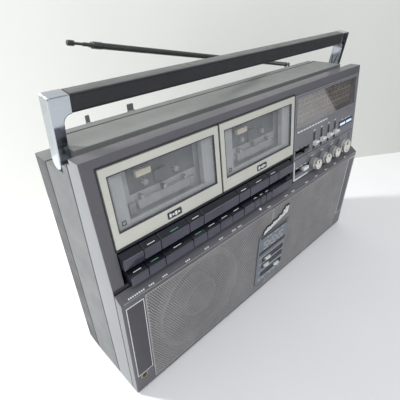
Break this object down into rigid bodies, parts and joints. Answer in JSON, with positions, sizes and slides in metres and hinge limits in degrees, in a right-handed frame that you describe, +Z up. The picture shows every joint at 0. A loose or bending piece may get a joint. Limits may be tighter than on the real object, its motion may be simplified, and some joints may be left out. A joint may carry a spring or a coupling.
{
  "type": "portable cassette stereo",
  "caption": "Portable stereo radio with two cassette doors, piano keys, sliders, knobs, a perforated speaker front, folding handle and telescopic antenna.",
  "frame": {"origin": "centre of the bounding box's base, on the surface the feet stand on", "axes": "+X to the viewer's right along the width, +Y to the rear, +Z up"},
  "size_m": [0.53, 0.1515, 0.4038],
  "materials": {
    "casing_gray": "fine moulded texture",
    "grille_metal": "perforated, satin paint",
    "badge_gray": "brushed, dark",
    "tuner_gray": "satin paint",
    "clear_window": "clear moulded plastic",
    "dial_window": "tinted clear plastic",
    "pointer_red": "gloss",
    "key_black": "satin",
    "deck_gray": "satin",
    "spindle_white": "satin",
    "speaker_black": "matte",
    "board_green": "soldered board",
    "foot_rubber": "matte",
    "screw_steel": "plated",
    "door_champagne": "fine brushed, champagne",
    "bright_chrome": "polished plating",
    "grip_black": "satin",
    "control_silver": "silver metallised"
  },
  "bodies": {
    "cabinet": {"front_cabinet": "casing_gray", "speaker_bezel": "casing_gray", "rear_cabinet": "casing_gray", "rear_cover": "casing_gray", "speaker_grille": "grille_metal", "badge_plate": "badge_gray", "tuner_panel": "tuner_gray", "dial_lens": "dial_window", "key_surround": "key_black", "left_deck": "deck_gray", "right_deck": "deck_gray", "left_woofer": "speaker_black", "right_woofer": "speaker_black", "main_board": "board_green", "feet": "foot_rubber", "case_screws": "screw_steel"},
    "left_door": {"left_door_frame": "door_champagne", "left_door_window": "clear_window"},
    "right_door": {"right_door_frame": "door_champagne", "right_door_window": "clear_window"},
    "left_supply_spindle": {"left_supply_spindle": "spindle_white"},
    "left_takeup_spindle": {"left_takeup_spindle": "spindle_white"},
    "right_supply_spindle": {"right_supply_spindle": "spindle_white"},
    "right_takeup_spindle": {"right_takeup_spindle": "spindle_white"},
    "handle": {"handle_bar": "bright_chrome", "handle_grip": "grip_black"},
    "antenna_knuckle": {"antenna_knuckle": "bright_chrome"},
    "antenna_tube": {"antenna_tube": "bright_chrome"},
    "antenna_rod": {"antenna_rod": "bright_chrome"},
    "battery_door": {"battery_door": "casing_gray"},
    "dial_pointer": {"dial_pointer": "pointer_red"},
    "volume_knob": {"volume_knob": "control_silver"},
    "balance_knob": {"balance_knob": "control_silver"},
    "tone_knob": {"tone_knob": "control_silver"},
    "tuning_knob": {"tuning_knob": "control_silver"},
    "meter_switch": {"meter_switch": "control_silver"},
    "band_switch": {"band_switch": "control_silver"},
    "badge_switch_1": {"badge_switch_1": "control_silver"},
    "badge_switch_2": {"badge_switch_2": "control_silver"},
    "badge_switch_3": {"badge_switch_3": "control_silver"},
    "band_slider_1": {"band_slider_1": "control_silver"},
    "band_slider_2": {"band_slider_2": "control_silver"},
    "band_slider_3": {"band_slider_3": "control_silver"},
    "band_slider_4": {"band_slider_4": "control_silver"},
    "lower_key_1": {"lower_key_1": "key_black"},
    "lower_key_2": {"lower_key_2": "key_black"},
    "lower_key_3": {"lower_key_3": "key_black"},
    "lower_key_4": {"lower_key_4": "key_black"},
    "lower_key_5": {"lower_key_5": "key_black"},
    "lower_key_6": {"lower_key_6": "key_black"},
    "lower_key_7": {"lower_key_7": "key_black"},
    "upper_left_key_1": {"upper_left_key_1": "key_black"},
    "upper_left_key_2": {"upper_left_key_2": "key_black"},
    "upper_left_key_3": {"upper_left_key_3": "key_black"},
    "upper_right_key_1": {"upper_right_key_1": "key_black"},
    "upper_right_key_2": {"upper_right_key_2": "key_black"},
    "upper_right_key_3": {"upper_right_key_3": "key_black"},
    "program_key_1": {"program_key_1": "key_black"},
    "program_key_2": {"program_key_2": "key_black"},
    "program_key_3": {"program_key_3": "key_black"}
  },
  "joints": [
    {"name": "left_door_hinge", "type": "hinge", "parent": "cabinet", "child": "left_door", "pos_m": [-0.173, -0.05398, 0.22777], "axis": [1, 0, 0], "range_deg": [0, 30]},
    {"name": "right_door_hinge", "type": "hinge", "parent": "cabinet", "child": "right_door", "pos_m": [-0.016, -0.05398, 0.22777], "axis": [1, 0, 0], "range_deg": [0, 30]},
    {"name": "left_supply_spin", "type": "hinge", "parent": "cabinet", "child": "left_supply_spindle", "pos_m": [-0.19425, -0.03622, 0.27397], "axis": [0, -0.9961, 0.0887], "continuous": true},
    {"name": "left_takeup_spin", "type": "hinge", "parent": "cabinet", "child": "left_takeup_spindle", "pos_m": [-0.15175, -0.03622, 0.27397], "axis": [0, -0.9961, 0.0887], "continuous": true},
    {"name": "right_supply_spin", "type": "hinge", "parent": "cabinet", "child": "right_supply_spindle", "pos_m": [-0.03725, -0.03622, 0.27397], "axis": [0, -0.9961, 0.0887], "continuous": true},
    {"name": "right_takeup_spin", "type": "hinge", "parent": "cabinet", "child": "right_takeup_spindle", "pos_m": [0.00525, -0.03622, 0.27397], "axis": [0, -0.9961, 0.0887], "continuous": true},
    {"name": "handle_fold", "type": "hinge", "parent": "cabinet", "child": "handle", "pos_m": [0, 0, 0.31], "axis": [-1, 0, 0], "range_deg": [0, 98.5]},
    {"name": "antenna_swivel", "type": "hinge", "parent": "cabinet", "child": "antenna_knuckle", "pos_m": [0.2185, 0.07, 0.303], "axis": [0, 0, -1], "range_deg": [0, 180]},
    {"name": "antenna_tilt", "type": "hinge", "parent": "antenna_knuckle", "child": "antenna_tube", "pos_m": [0.2185, 0.07, 0.317], "axis": [0, 1, 0], "range_deg": [-11.4, 78.6]},
    {"name": "antenna_extend", "type": "slide", "parent": "antenna_tube", "child": "antenna_rod", "axis": [-0.9803, 0, 0.1977], "range_m": [0, 0.35]},
    {"name": "battery_door_hinge", "type": "hinge", "parent": "cabinet", "child": "battery_door", "pos_m": [0, 0.0584, 0.0292], "axis": [-1, 0, 0], "range_deg": [0, 90]},
    {"name": "volume_turn", "type": "hinge", "parent": "cabinet", "child": "volume_knob", "pos_m": [0.118, -0.05854, 0.19244], "axis": [0, -0.9961, 0.0887], "range_deg": [-150, 150]},
    {"name": "balance_turn", "type": "hinge", "parent": "cabinet", "child": "balance_knob", "pos_m": [0.15, -0.05854, 0.19244], "axis": [0, -0.9961, 0.0887], "range_deg": [-150, 150]},
    {"name": "tone_turn", "type": "hinge", "parent": "cabinet", "child": "tone_knob", "pos_m": [0.182, -0.05854, 0.19244], "axis": [0, -0.9961, 0.0887], "range_deg": [-150, 150]},
    {"name": "tuning_turn", "type": "hinge", "parent": "cabinet", "child": "tuning_knob", "pos_m": [0.215, -0.05845, 0.19343], "axis": [0, -0.9961, 0.0887], "range_deg": [-1080, 1080]},
    {"name": "pointer_slide", "type": "slide", "parent": "cabinet", "child": "dial_pointer", "axis": [1, 0, 0], "range_m": [-0.076, 0.076]},
    {"name": "meter_switch_slide", "type": "slide", "parent": "cabinet", "child": "meter_switch", "axis": [1, 0, 0], "range_m": [-0.0185, 0.0055]},
    {"name": "band_switch_slide", "type": "slide", "parent": "cabinet", "child": "band_switch", "axis": [1, 0, 0], "range_m": [-0.0195, 0.005]},
    {"name": "badge_switch_1_slide", "type": "slide", "parent": "cabinet", "child": "badge_switch_1", "axis": [1, 0, 0], "range_m": [-0.0035, 0.0335]},
    {"name": "badge_switch_2_slide", "type": "slide", "parent": "cabinet", "child": "badge_switch_2", "axis": [1, 0, 0], "range_m": [-0.0015, 0.0355]},
    {"name": "badge_switch_3_slide", "type": "slide", "parent": "cabinet", "child": "badge_switch_3", "axis": [1, 0, 0], "range_m": [-0.0315, 0.0055]},
    {"name": "band_slider_1_slide", "type": "slide", "parent": "cabinet", "child": "band_slider_1", "axis": [0, 0.0887, 0.9961], "range_m": [-0.007, 0.014]},
    {"name": "band_slider_2_slide", "type": "slide", "parent": "cabinet", "child": "band_slider_2", "axis": [0, 0.0887, 0.9961], "range_m": [-0.007, 0.014]},
    {"name": "band_slider_3_slide", "type": "slide", "parent": "cabinet", "child": "band_slider_3", "axis": [0, 0.0887, 0.9961], "range_m": [-0.007, 0.014]},
    {"name": "band_slider_4_slide", "type": "slide", "parent": "cabinet", "child": "band_slider_4", "axis": [0, 0.0887, 0.9961], "range_m": [-0.007, 0.014]},
    {"name": "lower_key_1_press", "type": "hinge", "parent": "cabinet", "child": "lower_key_1", "pos_m": [0, -0.041, 0.191], "axis": [1, 0, 0], "range_deg": [0, 6], "stiffness_Nm_per_rad": 1, "springref_deg": -2.86},
    {"name": "lower_key_2_press", "type": "hinge", "parent": "cabinet", "child": "lower_key_2", "pos_m": [0, -0.041, 0.191], "axis": [1, 0, 0], "range_deg": [0, 6], "stiffness_Nm_per_rad": 1, "springref_deg": -2.86},
    {"name": "lower_key_3_press", "type": "hinge", "parent": "cabinet", "child": "lower_key_3", "pos_m": [0, -0.041, 0.191], "axis": [1, 0, 0], "range_deg": [0, 6], "stiffness_Nm_per_rad": 1, "springref_deg": -2.86},
    {"name": "lower_key_4_press", "type": "hinge", "parent": "cabinet", "child": "lower_key_4", "pos_m": [0, -0.041, 0.191], "axis": [1, 0, 0], "range_deg": [0, 6], "stiffness_Nm_per_rad": 1, "springref_deg": -2.86},
    {"name": "lower_key_5_press", "type": "hinge", "parent": "cabinet", "child": "lower_key_5", "pos_m": [0, -0.041, 0.191], "axis": [1, 0, 0], "range_deg": [0, 6], "stiffness_Nm_per_rad": 1, "springref_deg": -2.86},
    {"name": "lower_key_6_press", "type": "hinge", "parent": "cabinet", "child": "lower_key_6", "pos_m": [0, -0.041, 0.191], "axis": [1, 0, 0], "range_deg": [0, 6], "stiffness_Nm_per_rad": 1, "springref_deg": -2.86},
    {"name": "lower_key_7_press", "type": "hinge", "parent": "cabinet", "child": "lower_key_7", "pos_m": [0, -0.041, 0.191], "axis": [1, 0, 0], "range_deg": [0, 6], "stiffness_Nm_per_rad": 1, "springref_deg": -2.86},
    {"name": "upper_left_key_1_press", "type": "hinge", "parent": "cabinet", "child": "upper_left_key_1", "pos_m": [0, -0.041, 0.211], "axis": [1, 0, 0], "range_deg": [0, 7], "stiffness_Nm_per_rad": 1, "springref_deg": -2.86},
    {"name": "upper_left_key_2_press", "type": "hinge", "parent": "cabinet", "child": "upper_left_key_2", "pos_m": [0, -0.041, 0.211], "axis": [1, 0, 0], "range_deg": [0, 7], "stiffness_Nm_per_rad": 1, "springref_deg": -2.86},
    {"name": "upper_left_key_3_press", "type": "hinge", "parent": "cabinet", "child": "upper_left_key_3", "pos_m": [0, -0.041, 0.211], "axis": [1, 0, 0], "range_deg": [0, 7], "stiffness_Nm_per_rad": 1, "springref_deg": -2.86},
    {"name": "upper_right_key_1_press", "type": "hinge", "parent": "cabinet", "child": "upper_right_key_1", "pos_m": [0, -0.041, 0.211], "axis": [1, 0, 0], "range_deg": [0, 7], "stiffness_Nm_per_rad": 1, "springref_deg": -2.86},
    {"name": "upper_right_key_2_press", "type": "hinge", "parent": "cabinet", "child": "upper_right_key_2", "pos_m": [0, -0.041, 0.211], "axis": [1, 0, 0], "range_deg": [0, 7], "stiffness_Nm_per_rad": 1, "springref_deg": -2.86},
    {"name": "upper_right_key_3_press", "type": "hinge", "parent": "cabinet", "child": "upper_right_key_3", "pos_m": [0, -0.041, 0.211], "axis": [1, 0, 0], "range_deg": [0, 7], "stiffness_Nm_per_rad": 1, "springref_deg": -2.86},
    {"name": "program_key_1_press", "type": "hinge", "parent": "cabinet", "child": "program_key_1", "pos_m": [0, -0.041, 0.191], "axis": [1, 0, 0], "range_deg": [0, 6], "stiffness_Nm_per_rad": 1, "springref_deg": -2.86},
    {"name": "program_key_2_press", "type": "hinge", "parent": "cabinet", "child": "program_key_2", "pos_m": [0, -0.041, 0.191], "axis": [1, 0, 0], "range_deg": [0, 6], "stiffness_Nm_per_rad": 1, "springref_deg": -2.86},
    {"name": "program_key_3_press", "type": "hinge", "parent": "cabinet", "child": "program_key_3", "pos_m": [0, -0.041, 0.191], "axis": [1, 0, 0], "range_deg": [0, 6], "stiffness_Nm_per_rad": 1, "springref_deg": -2.86}
  ],
  "couplings": [
    {"joint": "pointer_slide", "follows": "tuning_turn", "m_per_rad": 0.0039789}
  ]
}
